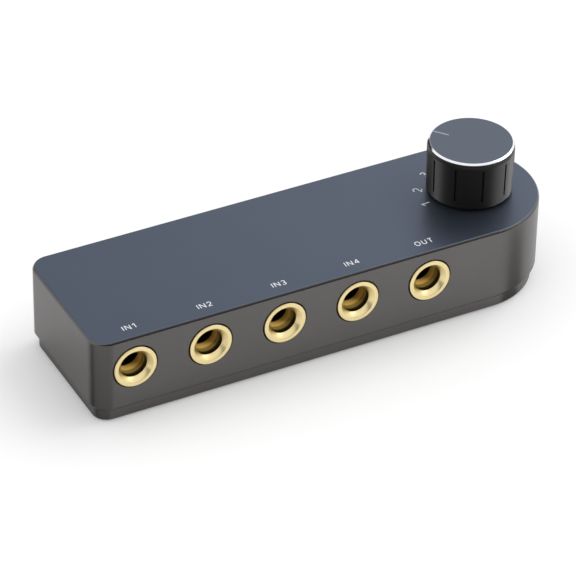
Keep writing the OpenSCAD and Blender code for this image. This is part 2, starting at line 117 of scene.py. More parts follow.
def pick(piece, kind, test):
    # edit mode with only the faces or edges that pass the test selected
    only(piece)
    bpy.ops.object.mode_set(mode="EDIT")
    bpy.ops.mesh.select_mode(type=kind)
    bpy.ops.mesh.select_all(action="DESELECT")
    bpy.ops.object.mode_set(mode="OBJECT")
    mesh = piece.data
    if kind == "FACE":
        for face in mesh.polygons:
            face.select = test(face.center, face.normal)
    else:
        for edge in mesh.edges:
            ends = [mesh.vertices[i].co for i in edge.vertices]
            edge.select = test(*ends)
    bpy.ops.object.mode_set(mode="EDIT")


def near(a, b):
    return abs(a - b) < 2 * weldGap


def push(vector):
    bpy.ops.mesh.extrude_region_move(TRANSFORM_OT_translate={"value": vector})


def clean(piece):
    only(piece)
    bpy.ops.object.mode_set(mode="EDIT")
    bpy.ops.mesh.select_all(action="SELECT")
    bpy.ops.mesh.remove_doubles(threshold=weldGap)
    bpy.ops.mesh.normals_make_consistent(inside=False)
    bpy.ops.object.mode_set(mode="OBJECT")


def spread(piece, moves):
    # one copy of the piece at each place, joined into one
    twins = []
    for move in moves:
        only(piece)
        bpy.ops.object.duplicate()
        twin = bpy.context.object
        twin.matrix_world = move
        bpy.ops.object.transform_apply(location=True, rotation=True, scale=True)
        twins.append(twin)
    bpy.data.objects.remove(piece)
    only(twins[0])
    for twin in twins:
        twin.select_set(True)
    bpy.ops.object.join()
    return twins[0]


def combine(piece, tool, how):
    only(piece)
    step = piece.modifiers.new("shape", "BOOLEAN")
    step.operation, step.solver, step.object = how, "EXACT", tool
    bpy.ops.object.modifier_apply(modifier=step.name)
    bpy.data.objects.remove(tool)


def smoothOff(piece, angle=30):
    # rounded stretches shade smooth and the flats stay flat
    only(piece)
    bpy.ops.object.shade_smooth_by_angle(angle=math.radians(angle))
    step = piece.modifiers.new("flats", "WEIGHTED_NORMAL")
    step.keep_sharp = True
    bpy.ops.object.modifier_apply(modifier=step.name)


def paint(piece, materials, choose=None):
    # choose gives the number of each face's material, from the face's centre and normal
    piece.data.materials.clear()
    for material in materials:
        piece.data.materials.append(material)
    if choose:
        for face in piece.data.polygons:
            face.material_index = choose(face.center, face.normal)


def anodised(name, colour, roughness, cloud, metallic=1.0, along=0.0):
    # Bead-blasted anodised aluminium: blasted with fine glass, then dyed. An even, silky metal whose
    # shine is broken up by grit too small to see, with a hardly visible cloudy drift in the dye. Where
    # "along" is set, a painted light gradient is added from one end of the case to the other: darker at
    # the square end, lighter at the round end.
    driftSize = 9 * mm
    gritSize = 0.09 * mm  # real blast marks are about half as wide, too fine to show
    material, tree, shader = startMaterial(name, colour, Metallic=metallic, Roughness=roughness)
    place = addNode(tree, "ShaderNodeTexCoord").outputs["Object"]
    drift = addNode(tree, "ShaderNodeTexNoise", {"Scale": 1 / driftSize, "Detail": 2}, {"Vector": place})
    ends = addNode(tree, "ShaderNodeSeparateXYZ", {}, {0: place})
    # painted light: the colour darkens towards the square end of the case and lightens towards the round
    # end
    paintedEndShade = addNode(tree, "ShaderNodeMapRange",
                    {"From Min": cadLow.x, "From Max": cadHigh.x, "To Min": along, "To Max": -along},
                    {"Value": ends.outputs["X"]})
    depth = addNode(tree, "ShaderNodeMath", {"operation": "ADD"},
                    {0: drift.outputs["Fac"], 1: paintedEndShade.outputs["Result"]})
    shade = addNode(tree, "ShaderNodeMix", {"data_type": "RGBA", "clamp_factor": False,
                                            6: linear(colour), 7: linear(cloud)}, {0: depth.outputs[0]})
    tree.links.new(shade.outputs[2], shader.inputs["Base Color"])
    grit = addNode(tree, "ShaderNodeTexNoise", {"Scale": 1 / gritSize, "Detail": 3}, {"Vector": place})
    bump = addNode(tree, "ShaderNodeBump", {"Strength": 0.12, "Distance": 0.004 * mm},
                   {"Height": grit.outputs["Fac"]})
    tree.links.new(bump.outputs["Normal"], shader.inputs["Normal"])
    return material


def turned(name, colour, roughness, spacing, strength, **more):
    # Metal turned on a lathe: the tool leaves fine rings, which the attribute "turn" counts in metres.
    # A finishing cut leaves them about 0.02 mm apart, so "spacing" is coarser, for them to show.
    material, tree, shader = startMaterial(name, colour, Roughness=roughness, **more)
    rings = addNode(tree, "ShaderNodeAttribute", {"attribute_name": "turn"})
    place = addNode(tree, "ShaderNodeCombineXYZ", {}, {"X": rings.outputs["Fac"]})
    feed = addNode(tree, "ShaderNodeTexNoise", {"Scale": 1 / spacing, "Detail": 2},
                   {"Vector": place.outputs["Vector"]})
    bump = addNode(tree, "ShaderNodeBump", {"Strength": strength, "Distance": 0.004 * mm},
                   {"Height": feed.outputs["Fac"]})
    tree.links.new(bump.outputs["Normal"], shader.inputs["Normal"])
    return material


def grained(name, colour, dark, grain, bumpHeight, **more):
    # Moulded, cast, rolled or pressed stock: two close tones and a fine relief of the same grain,
    # which is drawn no finer than 0.15 mm, because less wouldn't show.
    material, tree, shader = startMaterial(name, colour, **more)
    place = addNode(tree, "ShaderNodeTexCoord").outputs["Object"]
    noise = addNode(tree, "ShaderNodeTexNoise", {"Scale": 1 / grain, "Detail": 4}, {"Vector": place})
    shade = addNode(tree, "ShaderNodeMix", {"data_type": "RGBA", 6: linear(colour), 7: linear(dark)},
                    {0: noise.outputs["Fac"]})
    tree.links.new(shade.outputs[2], shader.inputs["Base Color"])
    bump = addNode(tree, "ShaderNodeBump", {"Strength": 0.5, "Distance": bumpHeight},
                   {"Height": noise.outputs["Fac"]})
    tree.links.new(bump.outputs["Normal"], shader.inputs["Normal"])
    return material


# the slate top and the grey sides carry a painted light gradient along the case, set by their last number
slateAluminium = anodised("slateAnodisedAluminium", "#535b6a", 0.36, "#4f5766", 0.85, 1.6)
greyAluminium = anodised("greyAnodisedAluminium", "#696766", 0.36, "#646261", 1.0, 0.9)
knobTopAluminium = anodised("knobTopAnodisedAluminium", "#616976", 0.3, "#5d6572")
# The case's top edge: machined after the blasting and dyed with the rest, so it is smoother and mirrors
# the room as one thin line.
edgeAluminium = anodised("machinedEdgeAluminium", "#636160", 0.18, "#5e5c5b")
# Gold plate on turned brass: bright and smooth, with the lathe's rings just showing.
goldPlate = turned("goldPlatedBrass", "#f2dfa8", 0.33, 0.05 * mm, 0.25, Metallic=1)
# Inside the plug holes the plating is thin, rough and dulled, so it is only partly metallic: a warm brown
# gold, with light and shade painted into its colour in bands by depth: painted shade near the mouth, a
# painted bright tan pool of light further in, and black painted shade at the deep end.
boreGold = turned("boreGoldPlate", "#c79a4c", 0.45, 0.08 * mm, 0.4, Metallic=0.35)
borePaintedShading = {
    "start": 2.5 * mm, "end": 6.25 * mm,  # the stretch of painted light and shade, as the attribute "turn" counts it
    "tones": [(0.0, "#140e05"), (0.15, "#1a1206"), (0.27, "#a89048"), (0.34, "#947434"),
              (0.43, "#f4cc70"), (0.66, "#e8bc62"), (0.71, "#120c04")],  # place along it, and colour
}


# paints the bore's light and shade into its base colour, as bands by depth down the hole
def paintBoreShading(material, shadeBands):
    tree, tones = material.node_tree, shadeBands["tones"]
    rings = addNode(tree, "ShaderNodeAttribute", {"attribute_name": "turn"})
    depth = addNode(tree, "ShaderNodeMapRange", {"From Min": shadeBands["start"], "From Max": shadeBands["end"]},
                    {"Value": rings.outputs["Fac"]})
    ramp = addNode(tree, "ShaderNodeValToRGB", {}, {"Fac": depth.outputs["Result"]})
    stops = ramp.color_ramp.elements
    while len(stops) < len(tones):
        stops.new(1.0)
    for stop, (place, tone) in zip(stops, tones):
        stop.position, stop.color = place, linear(tone)
    tree.links.new(ramp.outputs["Color"], tree.nodes["Principled BSDF"].inputs["Base Color"])


paintBoreShading(boreGold, borePaintedShading)
# Black anodised aluminium, turned before it was dyed: the dye hides the metal, so it shines like a
# lacquer, near black, and its fine rings draw every reflection out into upright bands.
knobSideBlack = turned("knobBlackAnodisedAluminium", "#020202", 0.6, 0.06 * mm, 0.1, Metallic=0,
                       Specular_IOR_Level=0.26, Anisotropic=0.9, Anisotropic_Rotation=0.25)
# Diamond-cut edge: the dye is cut away after anodising, so bare bright aluminium shows.
knobCutEdge = turned("diamondCutAluminium", "#f2f3f5", 0.12, 0.04 * mm, 0.1, Metallic=1)
# The lip under the cut edge: the same black, but burnished smooth.
knobLipBlack = turned("knobLipBlack", "#0c0d0f", 0.36, 0.06 * mm, 0.1,
                      Metallic=0, Specular_IOR_Level=0.2)
# Silk-screen ink: a thin opaque white film with a slightly uneven edge.
whiteInk = grained("whiteSilkScreenInk", "#e4e6ea", "#d7dade", 0.15 * mm, 0.002 * mm, Roughness=0.5)
pointerInk = grained("greyPointerInk", "#949ba5", "#8b929c", 0.15 * mm, 0.002 * mm, Roughness=0.45)
nodeFinishes = {
    # EPDM rubber, moulded: black and matt with a faint grey bloom
    "rubber": grained("mouldedRubber", "#252629", "#2f3033", 0.3 * mm, 0.01 * mm, Roughness=0.85),
    # Steel with bright zinc plate: pale grey metal with a soft sheen
    "steel": grained("zincPlatedSteel", "#a3a8ad", "#979ca2", 0.4 * mm, 0.003 * mm,
                     Metallic=1, Roughness=0.3),
    # Zinc, die cast: greyer and duller than the steel
    "zinc": grained("dieCastZinc", "#8d9196", "#80848a", 0.5 * mm, 0.005 * mm,
                    Metallic=1, Roughness=0.42),
    # FR4 with solder mask: a green lacquer over woven glass
    "board": grained("solderMaskedBoard", "#1f5a41", "#1a4d38", 0.8 * mm, 0.004 * mm, Roughness=0.35),
    # Phosphor bronze strip, rolled: warm metal with a drawn sheen
    "spring_metal": grained("rolledPhosphorBronze", "#c49a4a", "#b48b3e", 0.3 * mm, 0.002 * mm,
                            Metallic=1, Roughness=0.28),
    # ABS, moulded black: fine spark texture
    "black_plastic": grained("mouldedBlackAbs", "#1b1b1d", "#232325", 0.25 * mm, 0.01 * mm,
                             Roughness=0.5),
    # Phenolic paper laminate, pressed: brown with darker flecks
    "phenolic": grained("phenolicLaminate", "#5c3b28", "#472c1d", 0.6 * mm, 0.004 * mm, Roughness=0.5),
    # Nylon, moulded and undyed: milky white
    "nylon": grained("naturalNylon", "#e4e1d8", "#dad6cb", 0.5 * mm, 0.004 * mm, Roughness=0.45),
    # Gold flash on rolled brass: the switch's contacts, paler than the bronze
    "gold_plate": grained("goldPlatedContact", "#d9bf74", "#cdb268", 0.3 * mm, 0.002 * mm,
                          Metallic=1, Roughness=0.25),
    "cover_metal": greyAluminium,
    "case_metal": greyAluminium,
    "knob_metal": knobSideBlack,
    "pointer_line": pointerInk,
}
for part in frame["record"]["subparts"]:
    node = frame["nodes"][part["node"]]
    for slot in node.material_slots:
        slot.material = nodeFinishes[part["material_slot"]]
print("finishes made")


jackCount = 5
jackRingRadius = 3 * mm
jackPlaces = []
for number in range(1, jackCount + 1):
    low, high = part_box(f"jack_{number}_bush")
    jackPlaces.append(Vector(((low.x + high.x) / 2, low.y, high.z - jackRingRadius)))
turnJoint = frame["record"]["behaviour"]["joints"][0]
switchX, switchY, _ = turnJoint["pos_m"]
caseLow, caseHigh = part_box("housing")


housingSizes = {
    "cornerRadius": 2.65 * mm, "roundSteps": 48, "cornerSteps": 16,
    "edgeRun": 0.2 * mm, "edgeHeight": 0.34 * mm, "edgeSoft": 0.07 * mm, "edgeSteps": 3,
    "slopeRun": 0.6 * mm, "slopeHeight": 0.8 * mm, "wall": 1.2 * mm, "roof": 1.2 * mm,
    "jackHole": 3.15 * mm, "jackHoleSteps": 128, "holeEdge": 0.06 * mm, "holeReach": 1.8 * mm,
    "switchHole": 3.15 * mm, "switchHoleSteps": 96,
    "bossRadius": 1.35 * mm, "bossSteps": 48, "bossHole": 0.82 * mm,
    "bossFoot": 5.05 * mm, "bossHoleTop": 10.7 * mm,
    # between the first two jacks and between the last two, in front and behind
    "bossSpots": [((jackPlaces[k].x + jackPlaces[k + 1].x) / 2, y)
                  for k in (0, jackCount - 2) for y in (-6.9 * mm, 5.7 * mm)],
    # how far up a face looks to be part of the top, or of the machined edge round it
    "topFacing": 0.75, "edgeFacing": 0.2, "smoothAngle": 40,
}


def makeHousing(sizes):
    half = (caseHigh.y - caseLow.y) / 2
    bodyLow = caseLow.z + sizes["slopeHeight"]
    bodyHigh = caseHigh.z - sizes["edgeHeight"]
    startPiece()
    bpy.ops.mesh.primitive_cube_add(
        size=1, location=((caseLow.x + caseHigh.x) / 2, 0, (bodyLow + bodyHigh) / 2),
        scale=(caseHigh.x - caseLow.x, 2 * half, bodyHigh - bodyLow))
    housing = settle("housingShell")

    # the upright edges: a half circle at one end and two small corners at the other
    pick(housing, "EDGE",
         lambda a, b: near(a.x, caseHigh.x) and near(b.x, caseHigh.x) and near(a.y, b.y))
    bpy.ops.mesh.bevel(offset=half, segments=sizes["roundSteps"], affect="EDGES", clamp_overlap=False)
    pick(housing, "EDGE", lambda a, b: near(a.x, caseLow.x) and near(b.x, caseLow.x) and near(a.y, b.y))
    bpy.ops.mesh.bevel(offset=sizes["cornerRadius"], segments=sizes["cornerSteps"], affect="EDGES")
    clean(housing)

    # the small bevel round the top
    pick(housing, "FACE", lambda c, n: n.z > facing)
    bpy.ops.mesh.inset(thickness=sizes["edgeRun"], depth=sizes["edgeHeight"])
    for level in (bodyHigh, caseHigh.z):
        pick(housing, "EDGE", lambda a, b: near(a.z, level) and near(b.z, level))
        bpy.ops.mesh.bevel(offset=sizes["edgeSoft"], segments=sizes["edgeSteps"], affect="EDGES")

    # the slope at the foot, the wall's lower edge and the room inside
    pick(housing, "FACE", lambda c, n: n.z < -facing)
    bpy.ops.mesh.inset(thickness=sizes["slopeRun"], depth=sizes["slopeHeight"])
    bpy.ops.mesh.inset(thickness=sizes["wall"] - sizes["slopeRun"], depth=0)
    push((0, 0, caseHigh.z - sizes["roof"] - caseLow.z))
    clean(housing)

    # four screw bosses that hang from the roof, each with its blind hole
    bossTop = caseHigh.z - sizes["roof"] / 2
    startPiece()
    bpy.ops.mesh.primitive_cylinder_add(vertices=sizes["bossSteps"], radius=sizes["bossRadius"],
                                        depth=bossTop - sizes["bossFoot"],
                                        location=(0, 0, (bossTop + sizes["bossFoot"]) / 2))
    bosses = settle("screwBosses")
    pick(bosses, "FACE", lambda c, n: n.z < -facing)
    bpy.ops.mesh.inset(thickness=sizes["bossRadius"] - sizes["bossHole"], depth=0)
    push((0, 0, sizes["bossHoleTop"] - sizes["bossFoot"]))
    bpy.ops.object.mode_set(mode="OBJECT")
    spots = [Matrix.Translation((x, y, 0)) for x, y in sizes["bossSpots"]]
    bosses = spread(bosses, spots)
    combine(housing, bosses, "UNION")

    # jack holes through the front wall, with a fine broken edge, and the switch hole in the roof
    startPiece()
    wallBack = caseLow.y + sizes["holeReach"]
    bpy.ops.mesh.primitive_cylinder_add(vertices=sizes["jackHoleSteps"], radius=sizes["jackHole"],
                                        depth=wallBack - caseLow.y - sizes["holeEdge"],
                                        location=(0, (wallBack + caseLow.y + sizes["holeEdge"]) / 2, 0),
                                        rotation=(math.radians(90), 0, 0))
    cutters = settle("jackHoles")
    pick(cutters, "FACE", lambda c, n: n.y < -facing)
    push((0, -2 * sizes["holeEdge"], 0))
    grow = 1 + 2 * sizes["holeEdge"] / sizes["jackHole"]
    bpy.ops.transform.resize(value=(grow, 1, grow))
    bpy.ops.object.mode_set(mode="OBJECT")
    cutters = spread(cutters, [Matrix.Translation((place.x, 0, place.z)) for place in jackPlaces])
    combine(housing, cutters, "DIFFERENCE")
    startPiece()
    bpy.ops.mesh.primitive_cylinder_add(vertices=sizes["switchHoleSteps"], radius=sizes["switchHole"],
                                        depth=3 * sizes["roof"], location=(switchX, switchY, caseHigh.z))
    combine(housing, settle("switchHole"), "DIFFERENCE")
    clean(housing)
    return housing


def housingFinish(centre, normal):
    # slate on the top face, the machined edge round it, and grey below
    if normal.z > housingSizes["topFacing"] and centre.z > caseHigh.z - housingSizes["edgeSoft"]:
        return 1
    if normal.z > housingSizes["edgeFacing"] and centre.z > caseHigh.z - housingSizes["edgeHeight"]:
        return 2
    return 0


housing = makeHousing(housingSizes)
paint(housing, [greyAluminium, slateAluminium, edgeAluminium], housingFinish)
smoothOff(housing, housingSizes["smoothAngle"])
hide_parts("housing")
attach(housing, "case")
print("housing made")


def markTurning(piece, centre, axis):
    # how far each corner is along the cutting tool's path: out from the axis, then along it
    reading = piece.data.attributes.new("turn", "FLOAT", "POINT")
    for corner, value in zip(piece.data.vertices, reading.data):
        out = corner.co - centre
        along = out.dot(axis)
        value.value = (out - along * axis).length + along


bushSizes = {
    "steps": 128, "ring": jackRingRadius, "ringSoft": 0.12 * mm, "ringSteps": 4,
    "shoulder": 1.54 * mm,
    "mouth": 2.45 * mm, "mouthDepth": 0.65 * mm, "mouthSoft": 0.05 * mm, "mouthSteps": 2,
    "bore": 1.85 * mm, "neck": 2.5 * mm, "length": 4.4 * mm,
    "legWidth": 0.9 * mm, "legThick": 0.4 * mm, "legSetBack": 3.2 * mm,
    "edgeNear": 0.01 * mm, "wallNear": 0.02 * mm,  # how near an edge or the bore's wall counts as on it
}


def makeBush(sizes, place, legFoot):
    startPiece()
    bpy.ops.mesh.primitive_cylinder_add(vertices=sizes["steps"], radius=sizes["ring"],
                                        depth=sizes["shoulder"],
                                        location=place + Vector((0, sizes["shoulder"] / 2, 0)),
                                        rotation=(math.radians(90), 0, 0))
    bush = settle("jackBush_1")
    end = place.y + sizes["length"]

    def onCircle(point, depth, radius):
        return (near(point.y, place.y + depth)
                and abs(math.hypot(point.x - place.x, point.z - place.z) - radius) < sizes["edgeNear"])

    # ring face, conical mouth and bore
    pick(bush, "EDGE", lambda a, b: near(a.y, place.y) and near(b.y, place.y))
    bpy.ops.mesh.bevel(offset=sizes["ringSoft"], segments=sizes["ringSteps"], affect="EDGES")
    pick(bush, "FACE", lambda c, n: n.y < -squareOn)
    bpy.ops.mesh.inset(thickness=sizes["ring"] - sizes["ringSoft"] - sizes["mouth"], depth=0)
    bpy.ops.mesh.inset(thickness=sizes["mouth"] - sizes["bore"], depth=-sizes["mouthDepth"])
    push((0, sizes["length"] - sizes["mouthDepth"], 0))
    bpy.ops.mesh.delete(type="ONLY_FACE")

    # neck behind the ring, open at its end
    pick(bush, "FACE", lambda c, n: n.y > squareOn)
    bpy.ops.mesh.inset(thickness=sizes["ring"] - sizes["neck"], depth=0)
    push((0, sizes["length"] - sizes["shoulder"], 0))
    bpy.ops.mesh.delete(type="ONLY_FACE")
    pick(bush, "EDGE", lambda a, b: near(a.y, end) and near(b.y, end))
    bpy.ops.mesh.bridge_edge_loops()
    for depth, radius in ((0, sizes["mouth"]), (sizes["mouthDepth"], sizes["bore"])):
        pick(bush, "EDGE", lambda a, b: onCircle(a, depth, radius) and onCircle(b, depth, radius))
        bpy.ops.mesh.bevel(offset=sizes["mouthSoft"], segments=sizes["mouthSteps"], affect="EDGES")
    clean(bush)
    markTurning(bush, place, Vector((0, 1, 0)))

    # the sleeve's terminal, down through the board
    legTop = place.z - (sizes["neck"] + sizes["bore"]) / 2
    startPiece()
    bpy.ops.mesh.primitive_cube_add(
        size=1, location=(place.x, place.y + sizes["legSetBack"], (legTop + legFoot) / 2),
        scale=(sizes["legWidth"], sizes["legThick"], legTop - legFoot))
    leg = settle("sleeveLeg")
    only(bush)
    leg.select_set(True)
    bpy.ops.object.join()
    return bush


firstBush = makeBush(bushSizes, jackPlaces[0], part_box("jack_1_bush")[0].z)
boreWall = bushSizes["bore"] + bushSizes["wallNear"]
paint(firstBush, [goldPlate, boreGold],
      lambda c, n: 1 if math.hypot(c.x - jackPlaces[0].x, c.z - jackPlaces[0].z) < boreWall else 0)
smoothOff(firstBush)
bushes = [firstBush]
for number, place in enumerate(jackPlaces[1:], 2):
    only(firstBush)
    bpy.ops.object.duplicate()
    bpy.context.object.location = place - jackPlaces[0]
    bushes.append(settle(f"jackBush_{number}"))
for number, bush in enumerate(bushes, 1):
    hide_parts(f"jack_{number}_bush")
    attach(bush, "case")
print("jack bushes made")


knobLow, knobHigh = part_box("knob_shell")
pointerLow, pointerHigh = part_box("knob_pointer")
pointerMid = (pointerLow + pointerHigh) / 2
pointerAngle = math.atan2(pointerMid.y - switchY, pointerMid.x - switchX)
pointerAway = math.hypot(pointerMid.y - switchY, pointerMid.x - switchX)
knobSizes = {
    "steps": 160, "foot": 5.79 * mm, "side": 5.88 * mm, "lipRun": 0.1 * mm, "lipHeight": 0.55 * mm,
    "cutRun": 0.24 * mm, "cutHeight": 0.22 * mm, "soft": 0.015 * mm, "softSteps": 2,
    "hollow": 4.92 * mm, "hollowDepth": 2.4 * mm, "core": 4.22 * mm, "coreDepth": 3.5 * mm,
    "slots": 10, "slotTurn": math.radians(20),  # slotTurn: the first slot, from the pointer
    "slotWidth": 0.3 * mm, "slotDepth": 0.35 * mm, "slotLength": 5 * mm,
    "slotBelow": 0.4 * mm, "slotSoft": 0.08 * mm, "slotSteps": 3,
    "pointerLength": 2.22 * mm, "pointerWidth": 0.27 * mm, "pointerDepth": 0.16 * mm,
}


def makeKnob(sizes):
    sideTop = knobHigh.z - sizes["cutHeight"] - sizes["lipHeight"]
    startPiece()
    bpy.ops.mesh.primitive_cone_add(vertices=sizes["steps"], depth=sideTop - knobLow.z,
                                    radius1=sizes["foot"], radius2=sizes["side"],
                                    location=(switchX, switchY, (sideTop + knobLow.z) / 2))
    knob = settle("knobShell")

    # the slim lip, the diamond-cut edge and the flat top
    pick(knob, "FACE", lambda c, n: n.z > facing)
    bpy.ops.mesh.inset(thickness=sizes["lipRun"], depth=sizes["lipHeight"])
    bpy.ops.mesh.inset(thickness=sizes["cutRun"], depth=sizes["cutHeight"])
    for level in (sideTop, sideTop + sizes["lipHeight"], knobHigh.z):
        pick(knob, "EDGE", lambda a, b: near(a.z, level) and near(b.z, level))
        bpy.ops.mesh.bevel(offset=sizes["soft"], segments=sizes["softSteps"], affect="EDGES")

    # the hollow over the nut, and the seat of the plastic core
    pick(knob, "FACE", lambda c, n: n.z < -facing)
    bpy.ops.mesh.inset(thickness=sizes["foot"] - sizes["hollow"], depth=0)
    push((0, 0, sizes["hollowDepth"]))
    bpy.ops.mesh.inset(thickness=sizes["hollow"] - sizes["core"], depth=0)
    push((0, 0, sizes["coreDepth"]))
    clean(knob)
    cutFrom = sideTop + sizes["lipHeight"] + sizes["soft"] / 2

    def knobFinish(centre, normal):
        # from below: black side, burnished lip, cut edge and slate top
        if centre.z < cutFrom:
            return 3 if centre.z > sideTop else 0
        return 1 if normal.z < squareOn else 2

    paint(knob, [knobSideBlack, knobCutEdge, knobTopAluminium, knobLipBlack], knobFinish)

    # grip slots down the side, and the groove that holds the pointer line
    startPiece()
    bpy.ops.mesh.primitive_cube_add(
        size=1, location=(sizes["side"], 0, sideTop - sizes["slotBelow"] - sizes["slotLength"] / 2),
        scale=(2 * sizes["slotDepth"], sizes["slotWidth"], sizes["slotLength"]))
    slots = settle("gripSlots")
    pick(slots, "EDGE", lambda a, b: a.x < sizes["side"] and b.x < sizes["side"] and near(a.y, b.y))
    bpy.ops.mesh.bevel(offset=sizes["slotSoft"], segments=sizes["slotSteps"], affect="EDGES")
    bpy.ops.object.mode_set(mode="OBJECT")
    axis = Matrix.Translation((switchX, switchY, 0))
    step = math.tau / sizes["slots"]
    slots = spread(slots, [axis @ Matrix.Rotation(pointerAngle + sizes["slotTurn"] + k * step, 4, "Z")
                           for k in range(sizes["slots"])])
    combine(knob, slots, "DIFFERENCE")
    startPiece()
    bpy.ops.mesh.primitive_cube_add(
        size=1, location=(pointerAway, 0, knobHigh.z),
        scale=(sizes["pointerLength"], sizes["pointerWidth"], 2 * sizes["pointerDepth"]))
    groove = settle("pointerGroove")
    groove = spread(groove, [axis @ Matrix.Rotation(pointerAngle, 4, "Z")])
    combine(knob, groove, "DIFFERENCE")
    clean(knob)
    markTurning(knob, Vector((switchX, switchY, 0)), Vector((0, 0, 1)))

    # the cap, with its cut edge, is taken off as a piece of its own, so that the studio's strips
    # can light the side alone, and both are closed again
    pick(knob, "FACE", lambda c, n: c.z > cutFrom)
    bpy.ops.mesh.separate(type="SELECTED")
    bpy.ops.object.mode_set(mode="OBJECT")
    cap = next(piece for piece in bpy.context.selected_objects if piece != knob)
    cap.name = cap.data.name = "knobCap"
    for piece in (knob, cap):
        only(piece)
        bpy.ops.object.mode_set(mode="EDIT")
        bpy.ops.mesh.select_mode(type="EDGE")
        bpy.ops.mesh.select_all(action="DESELECT")
        bpy.ops.mesh.select_non_manifold()
        bpy.ops.mesh.edge_face_add()
        clean(piece)
    return knob, cap


knob, knobCap = makeKnob(knobSizes)
for piece in (knob, knobCap):
    smoothOff(piece)
    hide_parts("knob_shell")
    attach(piece, "selector")
print("knob made")


printSizes = {
    "film": 0.012 * mm, "sink": 0.005 * mm, "gap": 0.37 * mm,
    "wordHeight": 0.86 * mm, "wordStroke": 0.13 * mm,
    "wordLine": 2.29 * mm, "wordShift": 0.19 * mm,  # in from the front edge, and right of the jack
    "digitHeight": 1.16 * mm, "digitStroke": 0.155 * mm, "digitLean": math.radians(-7),
    # each digit's distance from the knob's axis, and its angle from where the pointer aims at rest
    "digitPlaces": {"1": (7.04 * mm, 58), "2": (6.97 * mm, 29.6),
                    "3": (6.6 * mm, -3.5), "4": (6.8 * mm, -32)},
    "strokeWeld": 0.0001,  # doubles in a stroke, whose letter is still one unit high
}


def bend(x, y, halfWidth, halfHeight, start, end, steps=12):
    # points on part of an ellipse, from one angle to another
    angles = [math.radians(start + (end - start) * i / steps) for i in range(steps + 1)]
    return [(x + halfWidth * math.cos(a), y + halfHeight * math.sin(a)) for a in angles]


# each character's width and its pen strokes, in letter heights from the lower left corner
characters = {
    "I": (0, [[(0, 0), (0, 1)]]),
    "N": (0.76, [[(0, 0), (0, 1), (0.05, 1), (0.71, 0), (0.76, 0), (0.76, 1)]]),
    "O": (0.8, [bend(0.4, 0.5, 0.4, 0.5, 0, 360, 40)]),
    "U": (0.64, [[(0, 1)] + bend(0.32, 0.32, 0.32, 0.32, 180, 360, 20) + [(0.64, 1)]]),
    "T": (0.66, [[(0, 1), (0.66, 1)], [(0.33, 1), (0.33, 0)]]),
    "1": (0.36, [[(0, 0.72), (0.31, 1), (0.36, 1), (0.36, 0)]]),
    "2": (0.61, [bend(0.3, 0.7, 0.3, 0.3, 165, -30) + [(0.03, 0.03), (0.03, 0), (0.61, 0)]]),
    "3": (0.58, [bend(0.27, 0.75, 0.27, 0.25, 150, -90), bend(0.27, 0.25, 0.31, 0.25, 90, -150)]),
    "4": (0.68, [[(0.5, 0), (0.5, 1)], [(0.46, 0.98), (0.01, 0.31)], [(-0.03, 0.28), (0.68, 0.28)]]),
}


def drawStroke(points, width):
    # a pen stroke one unit thick: a chain of edges, pulled up and given its width
    startPiece()
    bpy.ops.mesh.primitive_plane_add(size=width, location=(*points[0], 0))
    bpy.ops.object.mode_set(mode="EDIT")
    bpy.ops.mesh.select_mode(type="VERT")
    bpy.ops.mesh.select_all(action="SELECT")
    bpy.ops.mesh.merge(type="CENTER")
    for (x0, y0), (x1, y1) in zip(points, points[1:]):
        push((x1 - x0, y1 - y0, 0))
    bpy.ops.mesh.select_all(action="SELECT")
    bpy.ops.mesh.remove_doubles(threshold=printSizes["strokeWeld"])
    bpy.ops.mesh.select_all(action="SELECT")
    push((0, 0, 1))
    bpy.ops.object.mode_set(mode="OBJECT")
    stroke = settle("penStroke")
    thicken = stroke.modifiers.new("width", "SOLIDIFY")
    thicken.thickness, thicken.offset, thicken.use_even_offset = width, 0, True
    bpy.ops.object.modifier_apply(modifier=thicken.name)
    return stroke


def printWord(name, word, height, pen, x, y, turn=0.0):
    gap, width = printSizes["gap"] / height, pen / height
    total = sum(characters[letter][0] for letter in word) + gap * (len(word) - 1)
    thick = printSizes["film"] + printSizes["sink"]
    toPlace = (Matrix.Translation((x, y, caseHigh.z - printSizes["sink"]))
               @ Matrix.Rotation(turn, 4, "Z") @ Matrix.Diagonal((height, height, thick, 1)))
    letters, across = [], -total / 2
    for letter in word:
        advance, strokes = characters[letter]
        drawn = [drawStroke([(across + px, py - 0.5) for px, py in stroke], width) for stroke in strokes]
        for extra in drawn[1:]:
            combine(drawn[0], extra, "UNION")
        letters.append(drawn[0])
        across += advance + gap
    only(letters[0])
    for letter in letters:
        letter.select_set(True)
    bpy.ops.object.join()
    bpy.context.object.matrix_world = toPlace
    printed = settle(name)
    clean(printed)
    paint(printed, [whiteInk])
    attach(printed, "case")


for number, place in enumerate(jackPlaces, 1):
    label = "OUT" if number == jackCount else f"IN{number}"
    printWord(f"print_{label}", label, printSizes["wordHeight"], printSizes["wordStroke"],
              place.x + printSizes["wordShift"], caseLow.y + printSizes["wordLine"])
for digit, (away, fromPointer) in printSizes["digitPlaces"].items():
    around = pointerAngle + math.radians(fromPointer)
    printWord(f"print_{digit}", digit, printSizes["digitHeight"], printSizes["digitStroke"],
              switchX + away * math.cos(around), switchY + away * math.sin(around),
              around + printSizes["digitLean"] - math.radians(90))
print("prints made")


